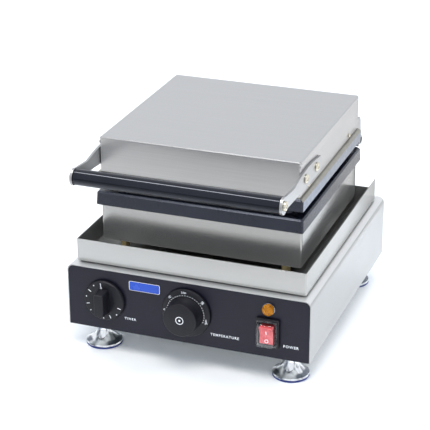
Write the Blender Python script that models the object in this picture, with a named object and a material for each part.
"""Counter-top waffle iron: a sheet-steel base with controls, a drip tray, and two hinged cast plates.

Units are metres, +Z is up and the front looks along -Y. The origin is on the table, under the
middle of the object's bounding box. Depths are counted from the front panel's face, FRONT.
"""

import math

import bmesh
import bpy
from mathutils import Matrix

# ---- driving dimensions -------------------------------------------------------------------
GAP = 0.0003            # clearance kept between touching pieces
SHEET = 0.0012          # stainless sheet thickness

FOOT_H = 0.0355         # table to the underside of the base
BASE_HALF_W = 0.1555    # base shell, half its width
BASE_D = 0.334          # base shell, front to back
BASE_H = 0.081          # base shell, bottom to deck
BEND_R = 0.008          # bend between deck and sides

HANDLE_AHEAD = 0.0265   # handle axis, ahead of the front panel
ARM_END_R = 0.0105      # round end of the handle arm
GLAND_BEHIND = 0.012    # cable gland, behind the base

REACH_AHEAD = HANDLE_AHEAD + ARM_END_R
REACH_BEHIND = BASE_D + GLAND_BEHIND
FRONT = (REACH_AHEAD - REACH_BEHIND) / 2   # y of the front panel's face

BASE_Z0 = FOOT_H
DECK_Z = FOOT_H + BASE_H

TRAY_HALF_W = 0.1461
TRAY_FRONT = 0.0099     # depth of the tray's front wall
TRAY_WALL_BACK = 0.287  # depth of the tray's rear wall
TRAY_BACK = 0.3194      # depth where the tray's side walls end
TRAY_Z0 = DECK_Z + 0.0022
TRAY_Z1 = FOOT_H + 0.1117

HOUSING_HALF_W = 0.1277
HOUSING_D0, HOUSING_D1 = 0.047, 0.284
HOUSING_Z0 = FOOT_H + 0.0993

PLATE_HALF_W = 0.1319
PLATE_D0, PLATE_D1 = 0.0389, 0.2925
LOWER_Z0, LOWER_Z1 = FOOT_H + 0.1472, FOOT_H + 0.1647
UPPER_Z0, UPPER_Z1 = FOOT_H + 0.1735, FOOT_H + 0.1900
PARTING_Z = (LOWER_Z1 + UPPER_Z0) / 2
UPPER_HALF_W = 0.1315
UPPER_D0, UPPER_D1 = 0.0395, 0.2930

COOK_HALF = 0.112       # raised cooking block, half its width
CAVITY = 0.098          # one waffle, side length
CAVITY_PITCH = 0.108
CAVITY_DEPTH = 0.010
STUDS = 4               # studs along one side of a waffle
STUD_FOOT, STUD_TOP = 0.0145, 0.0100
STUD_SHY = 0.001        # stud tops stay this far from the parting plane

LID_HALF_W = 0.1262
LID_D0, LID_D1 = 0.043, 0.293
LID_Z0, LID_Z1 = UPPER_Z1 + GAP, FOOT_H + 0.2347

PIVOT_D = 0.3070        # hinge axis, depth
PIVOT_Z = PARTING_Z
TUBE_R = 0.0060
OUTER_EAR_X0, OUTER_EAR_T = 0.1205, 0.0040
BRACKET_X0, BRACKET_T = 0.1080, 0.0040
EAR_R = 0.0095

HANDLE_Z = FOOT_H + 0.2095
GRIP_R = 0.0098
ARM_T = 0.003
ARM_BACK_D = 0.108      # centre of the arm's rear round end
ARM_TOP_R = 0.240       # the arm's upper edge is an arc of this radius
ARM_TOP_D, ARM_TOP_Z = 0.066, HANDLE_Z + 0.0129
ARM_NECK_D, ARM_NECK_H = 0.026, 0.0086      # where the narrow neck's lower edge ends
ARM_BELLY_D = 0.046
ARM_SCREWS = ((0.0541, HANDLE_Z + 0.002), (0.0965, HANDLE_Z + 0.001))
COVER_SCREW_D = (0.0746, 0.2484)
COVER_SCREW_Z = FOOT_H + 0.1958
LUG_HALF, LUG_H = 0.006, 0.011

TIMER_X, TIMER_Z = -0.1055, FOOT_H + 0.041
THERMO_X, THERMO_Z = 0.0010, FOOT_H + 0.0425
PILOT_X, PILOT_Z = 0.1040, FOOT_H + 0.0642
SWITCH_X, SWITCH_Z = 0.1030, FOOT_H + 0.0330
SHAFT_R = 0.003
BUSH_R = 0.0048

FOOT_X, FOOT_D0, FOOT_D1 = 0.1228, 0.031, 0.303
FOOT_R, NECK_R, STUD_R = 0.0230, 0.0100, 0.0040
PAD_T = 0.002
FOOT_LABELS = ("fl", "fr", "rl", "rr")

STANDOFF_X, STANDOFF_IN = 0.1043, 0.015
WIRE_HOLE_R, WIRE_HOLE_D = 0.014, 0.166

HEATER_R = 0.004


# ---- scene and mesh helpers ---------------------------------------------------------------
def clear_scene():
    for obj in list(bpy.data.objects):
        bpy.data.objects.remove(obj)


def material(name, colour, roughness, metallic):
    made = bpy.data.materials.new(name)
    made.use_nodes = True
    shader = made.node_tree.nodes["Principled BSDF"]
    shader.inputs["Base Color"].default_value = (*colour, 1)
    shader.inputs["Roughness"].default_value = roughness
    shader.inputs["Metallic"].default_value = metallic
    return made


def face_outwards(bm):
    bmesh.ops.recalc_face_normals(bm, faces=bm.faces)
    if bm.calc_volume(signed=True) < 0:
        bmesh.ops.reverse_faces(bm, faces=bm.faces)


def add_mesh(name, bm, mat):
    """Makes the bmesh an object, shaded smooth where it is round."""
    mesh = bpy.data.meshes.new(name)
    bm.to_mesh(mesh)
    bm.free()
    mesh.shade_smooth()
    mesh.set_sharp_from_angle(angle=math.radians(35))
    obj = bpy.data.objects.new(name, mesh)
    bpy.context.scene.collection.objects.link(obj)
    if mat:
        mesh.materials.append(mat)
    return obj


def loft(name, loops, mat, ring=False):
    """A solid through point loops of equal length: capped at both ends, or closed into a ring."""
    bm = bmesh.new()
    rows = [[bm.verts.new(p) for p in loop] for loop in loops]
    pairs = list(zip(rows, rows[1:])) + ([(rows[-1], rows[0])] if ring else [])
    for low, high in pairs:
        for i in range(len(low)):
            j = (i + 1) % len(low)
            bm.faces.new((low[i], low[j], high[j], high[i]))
    if not ring:
        bm.faces.new(rows[0])
        bm.faces.new(rows[-1])
    face_outwards(bm)
    return add_mesh(name, bm, mat)


def at(axis, u, v, h):
    """The point at height h along an axis, and (u, v) in the other two, in X, Y, Z order."""
    return {"X": (h, u, v), "Y": (u, h, v), "Z": (u, v, h)}[axis]


def prism(name, outline, axis, low, high, mat):
    return loft(name, [[at(axis, u, v, h) for u, v in outline] for h in (low, high)], mat)


def circle(r, sides, u=0.0, v=0.0):
    turn = 2 * math.pi / sides
    return [(u + r * math.cos(i * turn), v + r * math.sin(i * turn)) for i in range(sides)]


def turned(name, profile, axis, centre, mat, sides=24, ring=False):
    """A round piece: profile is (radius, height) pairs along the axis from centre = (u, v)."""
    loops = [[at(axis, u, v, h) for u, v in circle(r, sides, *centre)] for r, h in profile]
    return loft(name, loops, mat, ring)


def arc(u, v, r, start, end, steps):
    """Points on an arc about (u, v), from the start to the end angle in degrees."""
    angles = [math.radians(start + (end - start) * i / steps) for i in range(steps + 1)]
    return [(u + r * math.cos(a), v + r * math.sin(a)) for a in angles]


def rounded(u, v, width, height, r, steps=3):
    """A rectangle outline about (u, v) with round corners."""
    a, b = width / 2 - r, height / 2 - r
    corners = ((a, b, 0), (-a, b, 90), (-a, -b, 180), (a, -b, 270))
    return [p for x, y, start in corners for p in arc(u + x, v + y, r, start, start + 90, steps)]


def slab(name, sections, mat):
    """A solid stacked along Z from (z, half width, front depth, back depth, corner radius)."""
    loops = []
    for z, half, front, back, r in sections:
        outline = rounded(0, FRONT + (front + back) / 2, 2 * half, back - front, r)
        loops.append([at("Z", u, v, z) for u, v in outline])
    return loft(name, loops, mat)


def block(name, x, depth, z, mat, r=0.001):
    """A box between pairs of x, depth and z, its upright edges rounded."""
    middle = ((x[0] + x[1]) / 2, FRONT + (depth[0] + depth[1]) / 2)
    outline = rounded(*middle, x[1] - x[0], depth[1] - depth[0], r)
    return prism(name, outline, "Z", z[0], z[1], mat)


def helper(obj):
    obj.hide_render = True
    obj.display_type = "WIRE"
    return obj


def boolean(target, operation, others):
    for other in others:
        change = target.modifiers.new(operation.title(), "BOOLEAN")
        change.operation = operation
        change.object = helper(other)
    return target


def carve(target, *cutters):
    return boolean(target, "DIFFERENCE", cutters)


def weld(target, *others):
    return boolean(target, "UNION", others)


def drill(target, axis, centre, r, low, high, sides=24):
    name = f"drill_{target.name}_{len(target.modifiers)}"
    return carve(target, turned(name, [(r, low), (r, high)], axis, centre, None, sides))


def join_meshes(name, pieces, mat=None):
    """Several separate solids in one helper object, for one Boolean."""
    bm = bmesh.new()
    for piece in pieces:
        bm.from_mesh(piece.data)
        bpy.data.objects.remove(piece)
    return add_mesh(name, bm, mat)


def wire(name, points, r, mat, smooth_sides=2):
    """A round bar or tube along a polyline of points, with closed ends."""
    curve = bpy.data.curves.new(name, "CURVE")
    curve.dimensions = "3D"
    curve.bevel_depth = r
    curve.bevel_resolution = smooth_sides
    curve.use_fill_caps = True
    line = curve.splines.new("POLY")
    line.points.add(len(points) - 1)
    for spot, point in zip(line.points, points):
        spot.co = (*point[:3], 1)
        spot.radius = point[3] if len(point) > 3 else 1
    obj = bpy.data.objects.new(name, curve)
    bpy.context.scene.collection.objects.link(obj)
    curve.materials.append(mat)
    return obj


# ---- base ---------------------------------------------------------------------------------
def arch(half, low, high, r, steps=5):
    """The outline of an upside-down U's outer side, from the left foot round to the right."""
    left = arc(-half + r, high - r, r, 180, 90, steps)
    right = arc(half - r, high - r, r, 90, 0, steps)
    return [(-half, low), *left, *right, (half, low)]


def base_shell(mats):
    outer = arch(BASE_HALF_W, BASE_Z0, DECK_Z, BEND_R)
    inner = arch(BASE_HALF_W - SHEET, BASE_Z0, DECK_Z - SHEET, BEND_R - SHEET)
    shell = prism("base_shell", outer + inner[::-1], "Y", FRONT, FRONT + BASE_D, mats["steel"])
    drill(shell, "Z", (0, FRONT + WIRE_HOLE_D), WIRE_HOLE_R, DECK_Z - 0.01, DECK_Z + 0.01)


def front_panel(mats):
    half, high = BASE_HALF_W - SHEET - GAP, DECK_Z - SHEET - GAP
    outline = arch(half, BASE_Z0 + GAP, high, BEND_R - SHEET - GAP)
    back = FRONT + 0.0014
    panel = prism("front_panel", outline, "Y", FRONT - 0.0001, back, mats["panel"])
    for x, z in ((TIMER_X, TIMER_Z), (THERMO_X, THERMO_Z)):
        drill(panel, "Y", (x, z), BUSH_R + GAP, FRONT - 0.01, FRONT + 0.01)
    drill(panel, "Y", (PILOT_X, PILOT_Z), 0.0055, FRONT - 0.01, FRONT + 0.01)
    window = rounded(SWITCH_X, SWITCH_Z, 0.0232, 0.0302, 0.001)
    carve(panel, prism("switch_window", window, "Y", FRONT - 0.01, FRONT + 0.01, None))


def rear_panel(mats):
    half, high = BASE_HALF_W - SHEET - GAP, DECK_Z - SHEET - GAP
    outline = arch(half, BASE_Z0 + GAP, high, BEND_R - SHEET - GAP)
    front, back = FRONT + BASE_D - 0.0024, FRONT + BASE_D - 0.0010
    panel = prism("rear_panel", outline, "Y", front, back, mats["steel"])
    drill(panel, "Y", (GLAND_X, GLAND_Z), GLAND_R + GAP, front - 0.01, back + 0.01)
    slots = [
        prism("slot", rounded(x, z, 0.030, 0.004, 0.0018), "Y", front - 0.01, back + 0.01, None)
        for x in (-0.02, 0.02, 0.06)
        for z in (BASE_Z0 + 0.028, BASE_Z0 + 0.040, BASE_Z0 + 0.052)
    ]
    carve(panel, join_meshes("rear_slots", slots))


def bottom_plate(mats):
    half = BASE_HALF_W - SHEET - GAP
    low, high = BASE_Z0 + GAP, BASE_Z0 + GAP + SHEET
    depth = (0.0014 + GAP, BASE_D - 0.0024 - GAP)
    plate = block("bottom_plate", (-half, half), depth, (low, high), mats["zinc"])
    for x, d in foot_places():
        drill(plate, "Z", (x, FRONT + d), STUD_R + GAP, low - 0.01, high + 0.01, 16)
    slots = [
        block("vent", (x - 0.0025, x + 0.0025), (d - 0.02, d + 0.02), (low - 0.01, high + 0.01), None, 0.002)
        for x in (-0.04, 0, 0.04)
        for d in (0.12, 0.22)
    ]
    carve(plate, join_meshes("bottom_vents", slots))


GLAND_X, GLAND_Z, GLAND_R = -0.105, FOOT_H + 0.030, 0.0078


def cable_gland(mats):
    """The cord's inlet: a nut and body with the cord's bore through it."""
    inside, wall = FRONT + BASE_D - 0.014, FRONT + BASE_D - 0.0010 + GAP
    end = FRONT + REACH_BEHIND
    profile = [
        (0.0040, inside), (GLAND_R, inside), (GLAND_R, wall), (0.0115, wall), (0.0115, wall + 0.006),
        (0.0085, wall + 0.008), (0.0075, end), (0.0040, end),
    ]
    turned("cable_gland", profile, "Y", (GLAND_X, GLAND_Z), mats["black_plastic"], 20, ring=True)


def badge(mats):
    """A plain blank name plate."""
    outline = rounded(-0.0535, FOOT_H + 0.0655, 0.040, 0.0125, 0.002)
    prism("badge_plate", outline, "Y", FRONT - 0.0010, FRONT - 0.0001 - GAP, mats["badge"])


def foot_places():
    return [(x, d) for d in (FOOT_D0, FOOT_D1) for x in (-FOOT_X, FOOT_X)]


def feet(mats):
    for label, (x, d) in zip(FOOT_LABELS, foot_places()):
        bell = [
            (FOOT_R - 0.0006, PAD_T + GAP), (FOOT_R, PAD_T + 0.0013), (FOOT_R - 0.0008, PAD_T + 0.0026),
            (0.0172, 0.0085), (0.0125, 0.0135), (0.0098, 0.0195), (0.0088, 0.0255), (NECK_R - 0.0006, 0.0262),
            (NECK_R, 0.0270), (NECK_R, FOOT_H - 0.0004), (STUD_R, FOOT_H - 0.0004), (STUD_R, FOOT_H + 0.016),
        ]
        centre = (x, FRONT + d)
        turned(f"foot_{label}", bell, "Z", centre, mats["chrome"], 20)
        pad = [(FOOT_R - 0.0012, 0), (FOOT_R - 0.0002, 0.0007), (FOOT_R - 0.0002, PAD_T)]
        turned(f"foot_pad_{label}", pad, "Z", centre, mats["blue_rubber"], 20)


# ---- tray and lower cooking head ----------------------------------------------------------
def tray_gasket(mats):
    low, high = DECK_Z + GAP, TRAY_Z0 - GAP
    inset, width = 0.0025, 0.010
    half, front, back = TRAY_HALF_W - inset, TRAY_FRONT + inset, TRAY_BACK - inset
    ring = block("tray_gasket", (-half, half), (front, back), (low, high), mats["rubber"], 0.003)
    inner = (-half + width, half - width), (front + width, back - width)
    carve(ring, block("gasket_core", *inner, (low - 0.01, high + 0.01), None, 0.003))


def drip_tray(mats):
    """A folded pan whose side walls run on behind its rear wall."""
    width = (-TRAY_HALF_W, TRAY_HALF_W)
    tray = block("drip_tray", width, (TRAY_FRONT, TRAY_BACK), (TRAY_Z0, TRAY_Z1), mats["steel"], 0.002)
    inner = (-TRAY_HALF_W + SHEET, TRAY_HALF_W - SHEET)
    floor, over = TRAY_Z0 + SHEET, TRAY_Z1 + 0.01
    front = (TRAY_FRONT + SHEET, TRAY_WALL_BACK)
    behind = (TRAY_WALL_BACK + SHEET, TRAY_BACK + 0.01)
    carve(tray, block("pan_space", inner, front, (floor, over), None))
    carve(tray, block("rear_space", inner, behind, (floor, over), None, 0.0005))
    drill(tray, "Z", (0, FRONT + WIRE_HOLE_D), WIRE_HOLE_R, TRAY_Z0 - 0.01, floor + 0.01)


def standoffs(mats):
    depths = (HOUSING_D0 + STANDOFF_IN, HOUSING_D1 - STANDOFF_IN)
    places = [(x, d) for d in depths for x in (-STANDOFF_X, STANDOFF_X)]
    low, high = TRAY_Z0 + SHEET + GAP, HOUSING_Z0 - GAP
    for label, (x, d) in zip(("fl", "fr", "rl", "rr"), places):
        profile = [(0.0060, low), (0.0060, high)]
        turned(f"standoff_{label}", profile, "Z", (x, FRONT + d), mats["brass"], 6)


def lower_housing(mats):
    half = HOUSING_HALF_W
    depth, z = (HOUSING_D0, HOUSING_D1), (HOUSING_Z0, LOWER_Z0 - GAP)
    box = block("lower_housing", (-half, half), depth, z, mats["steel"], 0.002)
    inner = (-half + SHEET, half - SHEET), (HOUSING_D0 + SHEET, HOUSING_D1 - SHEET)
    carve(box, block("housing_space", *inner, (HOUSING_Z0 + SHEET, LOWER_Z0 + 0.01), None))
    drill(box, "Z", (0, FRONT + WIRE_HOLE_D), WIRE_HOLE_R, HOUSING_Z0 - 0.01, HOUSING_Z0 + 0.01)


def insulation(name, z, half, depth, mats, bored):
    pad = block(name, (-half, half), depth, z, mats["wool"], 0.004)
    if bored:
        drill(pad, "Z", (0, FRONT + WIRE_HOLE_D), WIRE_HOLE_R, z[0] - 0.01, z[1] + 0.01)


def heater(name, z, mats):
    """A rod element bent into a serpentine under or over its plate."""
    run_front, run_back, pitch, runs = FRONT + 0.085, FRONT + 0.245, 0.032, 6
    points = []
    for i in range(runs):
        x = (i - (runs - 1) / 2) * pitch
        up = i % 2 == 0
        ends = (run_front, run_back) if up else (run_back, run_front)
        points.append((x, ends[0], z))
        points.append((x, ends[1], z))
        if i < runs - 1:
            bend = arc(x + pitch / 2, ends[1], pitch / 2, 180, 0, 6)[1:-1]
            points += [(u, 2 * ends[1] - v if not up else v, z) for u, v in bend]
    wire(name, points, HEATER_R, mats["heater"], 1)


def cavity_places():
    middle = FRONT + (PLATE_D0 + PLATE_D1) / 2
    return [(i * CAVITY_PITCH / 2, middle + j * CAVITY_PITCH / 2) for j in (-1, 1) for i in (-1, 1)]


def square_loop(x, y, side, r, z):
    return [at("Z", u, v, z) for u, v in rounded(x, y, side, side, r, 1)]


def cook_plate(name, sections, up, mats):
    """A cast plate: bevelled flange, cooking block with four cavities, and studs in each.

    up is 1 for the lower plate, whose block points up, and -1 for the upper one.
    """
    plate = slab(name, sections, mats["cast"])
    face = PARTING_Z - up * 0.0002
    floor = PARTING_Z - up * CAVITY_DEPTH
    cavities, studs = [], []
    pitch = CAVITY / STUDS
    for x, y in cavity_places():
        over = face + up * 0.002
        loops = [square_loop(x, y, CAVITY - 0.003, 0.004, floor), square_loop(x, y, CAVITY, 0.005, over)]
        cavities.append(loft("cavity", loops, None))
        for i in range(STUDS * STUDS):
            u = x + (i % STUDS - (STUDS - 1) / 2) * (pitch - 0.0004)
            v = y + (i // STUDS - (STUDS - 1) / 2) * (pitch - 0.0004)
            low, high = floor - up * 0.001, face - up * STUD_SHY
            foot, top = (
                [(u + a * s / 2, v + b * s / 2, z) for a, b in ((1, 1), (-1, 1), (-1, -1), (1, -1))]
                for s, z in ((STUD_FOOT, low), (STUD_TOP, high))
            )
            studs.append(loft("stud", [foot, top], None))
    carve(plate, join_meshes(f"{name}_cavities", cavities))
    weld(plate, join_meshes(f"{name}_studs", studs))
    return plate


def lower_plate(mats):
    half, d0, d1 = PLATE_HALF_W, PLATE_D0, PLATE_D1
    block_d = ((d0 + d1) / 2 - COOK_HALF, (d0 + d1) / 2 + COOK_HALF)
    sections = [
        (LOWER_Z0, half - 0.0008, d0 + 0.0008, d1 - 0.0008, 0.002),
        (LOWER_Z0 + 0.0008, half, d0, d1, 0.0025),
        (LOWER_Z1 - 0.0020, half - 0.0006, d0 + 0.0006, d1 - 0.0006, 0.0035),
        (LOWER_Z1, half - 0.0024, d0 + 0.0024, d1 - 0.0024, 0.004),
        (LOWER_Z1, COOK_HALF, *block_d, 0.006),
        (PARTING_Z - 0.0002, COOK_HALF - 0.0006, block_d[0] + 0.0006, block_d[1] - 0.0006, 0.006),
    ]
    cook_plate("lower_plate", sections, 1, mats)


def upper_plate(mats):
    half, d0, d1 = UPPER_HALF_W, UPPER_D0, UPPER_D1
    middle = (PLATE_D0 + PLATE_D1) / 2
    block_d = (middle - COOK_HALF, middle + COOK_HALF)
    sections = [
        (PARTING_Z + 0.0002, COOK_HALF - 0.0006, block_d[0] + 0.0006, block_d[1] - 0.0006, 0.006),
        (UPPER_Z0, COOK_HALF, *block_d, 0.006),
        (UPPER_Z0, half - 0.0012, d0 + 0.0012, d1 - 0.0012, 0.003),
        (UPPER_Z0 + 0.0012, half - 0.0004, d0 + 0.0004, d1 - 0.0004, 0.0025),
        (UPPER_Z1 - 0.0024, half, d0, d1, 0.0025),
        (UPPER_Z1, half - 0.0030, d0 + 0.0030, d1 - 0.0010, 0.0025),
    ]
    plate = cook_plate("upper_plate", sections, -1, mats)
    wall = LID_HALF_W - SHEET - GAP
    lugs = [
        block("lug", sorted((side * wall, side * (wall - 0.012))), (d - LUG_HALF, d + LUG_HALF),
              (UPPER_Z1 - 0.002, UPPER_Z1 + LUG_H), None)
        for side in (-1, 1)
        for d in COVER_SCREW_D
    ]
    weld(plate, join_meshes("upper_lugs", lugs))
    for d in COVER_SCREW_D:
        drill(plate, "X", (FRONT + d, COVER_SCREW_Z), 0.0022, -wall - 0.01, wall + 0.01, 12)


# ---- lid ----------------------------------------------------------------------------------
def lid_cover(mats):
    half = LID_HALF_W
    cover = slab("lid_cover", [
        (LID_Z0, half, LID_D0, LID_D1, 0.002),
        (LID_Z1 - 0.0012, half, LID_D0, LID_D1, 0.002),
        (LID_Z1, half - 0.0012, LID_D0 + 0.0012, LID_D1 - 0.0012, 0.0015),
    ], mats["steel"])
    inner = (-half + SHEET, half - SHEET), (LID_D0 + SHEET, LID_D1 - SHEET)
    carve(cover, block("lid_space", *inner, (LID_Z0 - 0.01, LID_Z1 - SHEET), None))
    for d in COVER_SCREW_D:
        drill(cover, "X", (FRONT + d, COVER_SCREW_Z), 0.0022, -half - 0.01, half + 0.01, 12)
    for d, z in ARM_SCREWS:
        drill(cover, "X", (FRONT + d, z), ARM_SCREW_R + GAP, -half - 0.01, half + 0.01, 12)


ARM_SCREW_R = 0.0028


def arm_outline():
    """A round nose about the rod, a narrower neck, then a leaf shape with an arc along its top."""
    front, back = FRONT - HANDLE_AHEAD, FRONT + ARM_BACK_D
    top_d, top_z = FRONT + ARM_TOP_D, ARM_TOP_Z - ARM_TOP_R
    rear = arc(back, HANDLE_Z, ARM_END_R, -90, 60, 6)
    bulge = arc(top_d, top_z, ARM_TOP_R, 90 - 9.5, 90 + 13.5, 10)
    nose = arc(front, HANDLE_Z, ARM_END_R, 60, 318, 14)
    belly = [(FRONT + ARM_NECK_D, HANDLE_Z - ARM_NECK_H), (FRONT + ARM_BELLY_D, HANDLE_Z - ARM_END_R)]
    return rear + bulge + nose + belly


def handle(mats):
    inner = LID_HALF_W + GAP
    outline = arm_outline()
    axis = (FRONT - HANDLE_AHEAD, HANDLE_Z)
    for side, label in ((-1, "left"), (1, "right")):
        low, high = sorted((side * inner, side * (inner + ARM_T)))
        arm = prism(f"handle_arm_{label}", outline, "X", low, high, mats["steel"])
        drill(arm, "X", axis, ROD_R + GAP, low - 0.01, high + 0.01, 16)
        for d, z in ARM_SCREWS:
            drill(arm, "X", (FRONT + d, z), ARM_SCREW_R + GAP, low - 0.01, high + 0.01, 12)
        for (d, z), place in zip(ARM_SCREWS, ("front", "rear")):
            screw(f"arm_screw_{label}_{place}", side, inner + ARM_T + GAP, d, z, 0.0058, 0.0026,
                  ARM_SCREW_R, 0.011, mats)
    end = inner - GAP
    grip = [(ROD_R + GAP, -end), (GRIP_R - 0.0012, -end), (GRIP_R, -end + 0.0012),
            (GRIP_R, end - 0.0012), (GRIP_R - 0.0012, end), (ROD_R + GAP, end)]
    turned("handle_grip", grip, "X", axis, mats["bakelite"], 24, ring=True)
    face = inner + ARM_T + GAP
    rod = [(0.0035, -face - 0.0028), (0.0060, -face - 0.0016), (0.0060, -face), (ROD_R, -face),
           (ROD_R, face), (0.0060, face), (0.0060, face + 0.0016), (0.0035, face + 0.0028)]
    turned("handle_rod", rod, "X", axis, mats["zinc"], 16)


ROD_R = 0.0030


def screw(name, side, face, depth, z, head_r, head_h, shank_r, length, mats):
    """A domed screw seen from the side it is driven in from, pointing inwards along X."""
    heights = [face - length, face, face, face + head_h * 0.45, face + head_h * 0.85, face + head_h]
    radii = [shank_r, shank_r, head_r, head_r * 0.94, head_r * 0.68, head_r * 0.3]
    profile = [(r, side * h) for r, h in zip(radii, heights)]
    turned(name, profile, "X", (FRONT + depth, z), mats["zinc"], 12)


def cover_screws(mats):
    for d, end in zip(COVER_SCREW_D, ("f", "r")):
        for side, hand in ((-1, "l"), (1, "r")):
            screw(f"cover_screw_{end}{hand}", side, LID_HALF_W + GAP, d, COVER_SCREW_Z,
                  0.0031, 0.0020, 0.0018, 0.009, mats)


# ---- hinge --------------------------------------------------------------------------------
def hinge(mats):
    pivot = (FRONT + PIVOT_D, PIVOT_Z)
    reach = OUTER_EAR_X0 + OUTER_EAR_T + 0.003
    bore = TUBE_R + GAP
    tube = [(0.0042, -reach), (TUBE_R, -reach), (TUBE_R, reach), (0.0042, reach)]
    turned("hinge_tube", tube, "X", pivot, mats["steel"], 24, ring=True)
    housing_back, plate_back = FRONT + HOUSING_D1 + GAP, FRONT + PLATE_D1 + 0.002
    upper_back = FRONT + UPPER_D1 + GAP
    fixed = arc(*pivot, EAR_R, -30, 180, 8) + [
        (plate_back, LOWER_Z1), (plate_back, LOWER_Z0 - 0.004), (housing_back, LOWER_Z0 - 0.008),
        (housing_back, TRAY_Z1 + 0.002), (housing_back + 0.012, TRAY_Z1 + 0.002),
    ]
    moving = arc(*pivot, EAR_R, -110, 30, 6) + [
        (pivot[0] + 0.006, UPPER_Z1 + 0.005), (pivot[0] + 0.001, UPPER_Z1 + 0.010),
        (upper_back, UPPER_Z1 + 0.010), (upper_back, UPPER_Z0 + 0.001), (pivot[0] - EAR_R, PIVOT_Z + 0.001),
    ]
    for side, label in ((-1, "left"), (1, "right")):
        low, high = sorted((side * BRACKET_X0, side * (BRACKET_X0 + BRACKET_T)))
        bracket = prism(f"hinge_bracket_{label}", fixed, "X", low, high, mats["steel"])
        drill(bracket, "X", pivot, bore, low - 0.01, high + 0.01, 24)
        low, high = sorted((side * OUTER_EAR_X0, side * (OUTER_EAR_X0 + OUTER_EAR_T)))
        ear = prism(f"lid_ear_{label}", moving, "X", low, high, mats["steel"])
        drill(ear, "X", pivot, bore, low - 0.01, high + 0.01, 24)


# ---- controls -----------------------------------------------------------------------------
def knob_socket(knob, centre, depth):
    drill(knob, "Y", centre, SHAFT_R + GAP, FRONT - depth, FRONT + 0.01, 16)


def timer(mats):
    centre = (TIMER_X, TIMER_Z)
    skirt = [(0.0262, FRONT - 0.0012), (0.0262, FRONT - 0.0042), (0.0250, FRONT - 0.0058),
             (0.0140, FRONT - 0.0066)]
    knob = turned("timer_knob", skirt, "Y", centre, mats["knob"], 32)
    bar = [
        [at("Y", u, v, FRONT - depth) for u, v in rounded(*centre, width, length, 0.0022, 2)]
        for depth, width, length in (
            (0.0060, 0.0142, 0.0330), (0.0205, 0.0122, 0.0290), (0.0218, 0.0108, 0.0276),
        )
    ]
    weld(knob, loft("timer_bar", bar, None))
    knob_socket(knob, centre, 0.014)
    shaft_and_case("timer", centre, 0.0135, (0.044, 0.044, 0.034), mats)


def thermostat(mats):
    centre = (THERMO_X, THERMO_Z)
    profile = [
        (0.0310, FRONT - 0.0012), (0.0310, FRONT - 0.0036), (0.0300, FRONT - 0.0050), (0.0222, FRONT - 0.0056),
        (0.0216, FRONT - 0.0070), (0.0212, FRONT - 0.0236), (0.0200, FRONT - 0.0250), (0.0060, FRONT - 0.0252),
    ]
    knob = turned("thermostat_knob", profile, "Y", centre, mats["knob"], 36)
    knob_socket(knob, centre, 0.016)
    shaft_and_case("thermostat", centre, 0.0155, (0.036, 0.030, 0.030), mats)


def shaft_and_case(name, centre, reach, size, mats):
    """The control behind the panel: a case with a bush through the panel, and its shaft."""
    x, z = centre
    case_front = FRONT + 0.0014 + GAP
    outline = rounded(x, z, size[0], size[1], 0.003)
    case = prism(f"{name}_case", outline, "Y", case_front, case_front + size[2], mats["zinc"])
    bush = [(BUSH_R, FRONT - 0.0008), (BUSH_R, case_front + 0.004)]
    weld(case, turned(f"{name}_bush", bush, "Y", centre, None, 24))
    drill(case, "Y", centre, SHAFT_R + GAP, FRONT - 0.01, case_front + 0.014, 16)
    shaft = [(SHAFT_R, FRONT - reach), (SHAFT_R, case_front + 0.0135)]
    turned(f"{name}_shaft", shaft, "Y", centre, mats["zinc"], 16)


def sensor(mats):
    """The thermostat's capillary, up through the cable holes to its bulb under the lower plate."""
    y0 = FRONT + 0.0014 + 2 * GAP + 0.030
    hole = FRONT + WIRE_HOLE_D
    top = LOWER_Z0 - 0.0042
    thin, thick = 1.0, 2.2
    route = [
        (THERMO_X, y0, THERMO_Z), (THERMO_X, y0 + 0.03, THERMO_Z), (0.004, hole - 0.03, THERMO_Z + 0.004),
        (0.004, hole - 0.006, THERMO_Z + 0.014), (0.004, hole, THERMO_Z + 0.030), (0.004, hole, top - 0.012),
        (0.002, hole + 0.004, top - 0.003), (0, hole + 0.012, top),
    ]
    bulb = [(0, hole + 0.014, top), (0, hole + 0.070, top)]
    points = [(*p, thin) for p in route] + [(*p, thick) for p in bulb]
    wire("thermostat_sensor", points, 0.0013, mats["copper"], 1)


def pilot_lamp(mats):
    centre = (PILOT_X, PILOT_Z)
    face = FRONT - 0.0001 - GAP
    body = [(0.0042, face - 0.0008), (0.0076, face - 0.0008), (0.0078, face - 0.0005), (0.0078, face),
            (0.0052, face),
            (0.0052, FRONT + 0.016), (0.0042, FRONT + 0.016)]
    turned("pilot_bezel", body, "Y", centre, mats["chrome"], 20, ring=True)
    base = face - 0.0008 - GAP
    lens = [(0.0038, FRONT + 0.010), (0.0038, base), (0.0072, base), (0.0071, base - 0.0030),
            (0.0062, base - 0.0050),
            (0.0040, base - 0.0062), (0.0018, base - 0.0065)]
    turned("pilot_lens", lens, "Y", centre, mats["amber"], 20)


ROCKER_HALF_W, ROCKER_HALF_H = 0.0088, 0.0118
ROCKER_PIVOT_D = 0.004
RIM_W, RIM_H, RIM_T = 0.0290, 0.0372, 0.0040    # the switch frame's rim, and how far it stands proud
RIM_SHIFT_X, RIM_SHIFT_Z = 0.0006, 0.0008       # it isn't quite centred on its opening


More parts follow.
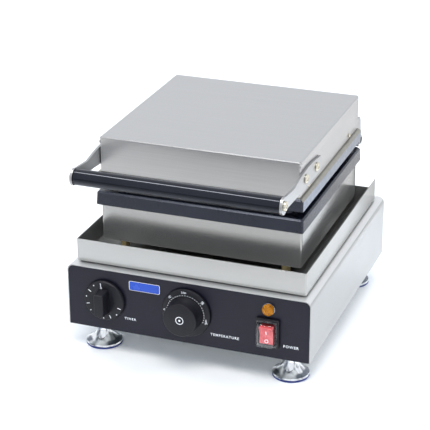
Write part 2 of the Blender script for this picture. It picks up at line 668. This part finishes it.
def power_switch(mats):
    x, z = SWITCH_X, SWITCH_Z
    face = FRONT - 0.0001 - GAP
    outline = rounded(x + RIM_SHIFT_X, z + RIM_SHIFT_Z, RIM_W, RIM_H, 0.002)
    rim = prism("switch_frame", outline, "Y", face - RIM_T, face, mats["black_plastic"])
    sides = rounded(x, z, 0.0224, 0.0294, 0.001)
    barrel = prism("switch_barrel", sides, "Y", face - 0.001, FRONT + 0.024, None)
    weld(rim, barrel)
    window = rounded(x, z, 2 * ROCKER_HALF_W + 0.001, 2 * ROCKER_HALF_H + 0.0032, 0.0008)
    carve(rim, prism("rocker_window", window, "Y", face - 0.02, FRONT + 0.016, None))
    rocker(mats)
    sleeve(mats, face - RIM_T - GAP)


def rocker(mats):
    """A two-sided rocker about an X axis, stored with its lower half pressed in."""
    pivot = (FRONT + ROCKER_PIVOT_D, SWITCH_Z)
    tilt = math.radians(9)
    edge = ROCKER_HALF_H - 0.0002
    shape = [(-0.0118, -edge), (-0.0098, 0.0), (-0.0118, edge), (0.0045, 0.0085), (0.0078, 0),
             (0.0045, -0.0085)]
    cosine, sine = math.cos(tilt), math.sin(tilt)
    outline = [(pivot[0] + y * cosine - z * sine, pivot[1] + y * sine + z * cosine) for y, z in shape]
    low, high = SWITCH_X - ROCKER_HALF_W, SWITCH_X + ROCKER_HALF_W
    prism("power_rocker", outline, "X", low, high, mats["red"])


def sleeve(mats, back):
    """The clear splash cap over the rocker: a flanged shell, open at the back."""
    x, z = SWITCH_X, SWITCH_Z
    steps = ((back, 0.0254, 0.0330), (back - 0.0008, 0.0254, 0.0330), (back - 0.0010, 0.0234, 0.0304),
             (back - 0.0066, 0.0226, 0.0296), (back - 0.0076, 0.0208, 0.0278))
    loops = [[at("Y", u, v, y) for u, v in rounded(x, z, w, h, 0.0022)] for y, w, h in steps]
    cap = loft("switch_cap", loops, mats["clear"])
    hollow = prism("cap_space", rounded(x, z, 0.0208, 0.0278, 0.0015), "Y", back - 0.0066, back + 0.01, None)
    carve(cap, hollow)


def terminal_block(mats):
    heights = (BASE_Z0 + 0.0018, BASE_Z0 + 0.017)
    strip = block("terminal_block", (-0.075, -0.020), (0.270, 0.290), heights, mats["ivory"], 0.002)
    for i in range(4):
        x = -0.068 + i * 0.0135
        drill(strip, "Z", (x, FRONT + 0.280), 0.0028, BASE_Z0 + 0.010, BASE_Z0 + 0.03, 12)


# ---- moving groups ------------------------------------------------------------------------
def hang_on(name, location, prefixes):
    """Parents the pieces whose names start with a prefix to an empty on their joint's axis."""
    pivot = bpy.data.objects.new(name, None)
    bpy.context.scene.collection.objects.link(pivot)
    pivot.location = location
    inverse = Matrix.Translation(location).inverted()
    for obj in bpy.context.scene.objects:
        if obj.name.startswith(prefixes):
            obj.parent = pivot
            obj.matrix_parent_inverse = inverse


def moving_groups():
    lid = ("upper_", "lid_", "handle_", "arm_screw", "cover_screw")
    hang_on("axis_of_lid", (0, FRONT + PIVOT_D, PIVOT_Z), lid)
    hang_on("axis_of_timer", (TIMER_X, FRONT, TIMER_Z), ("timer_knob", "timer_shaft"))
    thermostat_pieces = ("thermostat_knob", "thermostat_shaft")
    hang_on("axis_of_thermostat", (THERMO_X, FRONT, THERMO_Z), thermostat_pieces)
    hang_on("axis_of_rocker", (SWITCH_X, FRONT + ROCKER_PIVOT_D, SWITCH_Z), ("power_rocker",))
    for label, (x, d) in zip(FOOT_LABELS, foot_places()):
        pieces = (f"foot_{label}", f"foot_pad_{label}")
        hang_on(f"axis_of_{label}_foot", (x, FRONT + d, FOOT_H), pieces)


# ---- all of it ----------------------------------------------------------------------------
def materials():
    return {
        "steel": material("stainless_steel", (0.62, 0.62, 0.60), 0.32, 1.0),
        "cast": material("black_cast", (0.03, 0.032, 0.038), 0.38, 0.2),
        "panel": material("panel_black", (0.035, 0.033, 0.045), 0.35, 0.0),
        "bakelite": material("bakelite", (0.018, 0.019, 0.024), 0.18, 0.0),
        "knob": material("knob_black", (0.022, 0.022, 0.024), 0.42, 0.0),
        "black_plastic": material("black_plastic", (0.015, 0.015, 0.016), 0.35, 0.0),
        "chrome": material("chrome", (0.75, 0.76, 0.78), 0.08, 1.0),
        "zinc": material("zinc", (0.62, 0.60, 0.54), 0.3, 1.0),
        "brass": material("brass", (0.60, 0.50, 0.28), 0.35, 1.0),
        "copper": material("copper", (0.62, 0.34, 0.22), 0.35, 1.0),
        "heater": material("heater_sheath", (0.20, 0.19, 0.18), 0.5, 0.8),
        "rubber": material("gasket", (0.012, 0.012, 0.012), 0.8, 0.0),
        "blue_rubber": material("foot_pad", (0.03, 0.05, 0.24), 0.6, 0.0),
        "wool": material("insulation", (0.86, 0.84, 0.78), 0.95, 0.0),
        "ivory": material("terminal_ivory", (0.75, 0.71, 0.60), 0.5, 0.0),
        "amber": material("amber_lens", (0.80, 0.38, 0.02), 0.15, 0.0),
        "red": material("red_rocker", (0.75, 0.05, 0.06), 0.2, 0.0),
        "clear": material("clear_cap", (0.90, 0.90, 0.92), 0.1, 0.0),
        "badge": material("badge_blue", (0.04, 0.14, 0.62), 0.25, 0.0),
    }


def main():
    clear_scene()
    mats = materials()
    for make in (
        base_shell, front_panel, rear_panel, bottom_plate, cable_gland, badge, feet,
        tray_gasket, drip_tray, standoffs, lower_housing, lower_plate, upper_plate,
        lid_cover, handle, cover_screws, hinge,
        timer, thermostat, sensor, pilot_lamp, power_switch, terminal_block,
    ):
        make(mats)
    pad_depth = (HOUSING_D0 + 0.004, HOUSING_D1 - 0.004)
    insulation("lower_insulation", (HOUSING_Z0 + SHEET + GAP, LOWER_Z0 - 0.012), 0.122, pad_depth, mats, True)
    insulation("upper_insulation", (UPPER_Z1 + 0.012, LID_Z1 - SHEET - GAP), 0.109, (0.049, 0.287), mats, False)
    heater("lower_heater", LOWER_Z0 - GAP - HEATER_R, mats)
    heater("upper_heater", UPPER_Z1 + GAP + HEATER_R, mats)
    moving_groups()


main()
